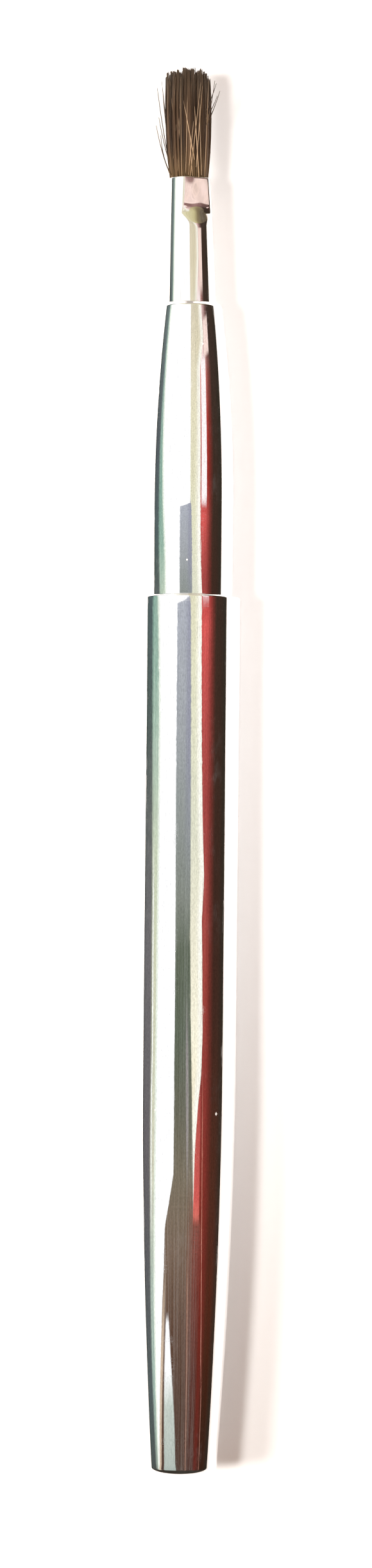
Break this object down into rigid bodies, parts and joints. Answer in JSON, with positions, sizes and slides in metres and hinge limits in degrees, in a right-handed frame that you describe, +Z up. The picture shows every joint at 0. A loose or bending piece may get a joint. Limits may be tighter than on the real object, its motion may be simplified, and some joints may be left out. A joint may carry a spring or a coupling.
{
  "type": "retractable detail brush",
  "caption": "Slim pocket brush with a flat-cut hair tuft, a pressed ferrule and a tapered metal sleeve that slides out of the handle to cover the hairs.",
  "frame": {"origin": "middle of the brush's length, on the surface that the handle lies on", "axes": "+Y along the brush from the closed butt towards the tips of the hairs, +Z up, +X to the right"},
  "size_m": [0.01, 0.1318, 0.01],
  "materials": {
    "mirror_metal": "mirror polished, fine wear scratches",
    "ferrule_metal": "bright nickel, faint drawing lines",
    "rod_metal": "drawn, satin",
    "dark_plastic": "moulded, satin",
    "pale_plastic": "moulded, satin",
    "soft_rubber": "matt",
    "set_adhesive": "clear amber, glossy",
    "thread": "waxed thread",
    "hair": "natural brown hair, soft sheen"
  },
  "bodies": {
    "handle": {"handle_tube": "mirror_metal", "mouth_bush": "pale_plastic", "butt_plug": "pale_plastic", "core_rod": "rod_metal", "stop_bush": "dark_plastic", "stop_washer": "soft_rubber", "ferrule_adapter": "dark_plastic", "adhesive_plug": "set_adhesive", "ferrule": "ferrule_metal", "binding_thread": "thread", "bristle_tuft": "hair"},
    "ring": {"friction_ring": "soft_rubber"},
    "sleeve": {"sleeve_tube": "mirror_metal", "nose_guide": "dark_plastic", "guide_collar": "dark_plastic"}
  },
  "joints": [
    {"name": "sleeve_slide", "type": "slide", "parent": "handle", "child": "ring", "axis": [0, 1, 0], "range_m": [0, 0.024]},
    {"name": "sleeve_turn", "type": "hinge", "parent": "ring", "child": "sleeve", "pos_m": [0, 0, 0.005], "axis": [0, 1, 0], "continuous": true}
  ]
}
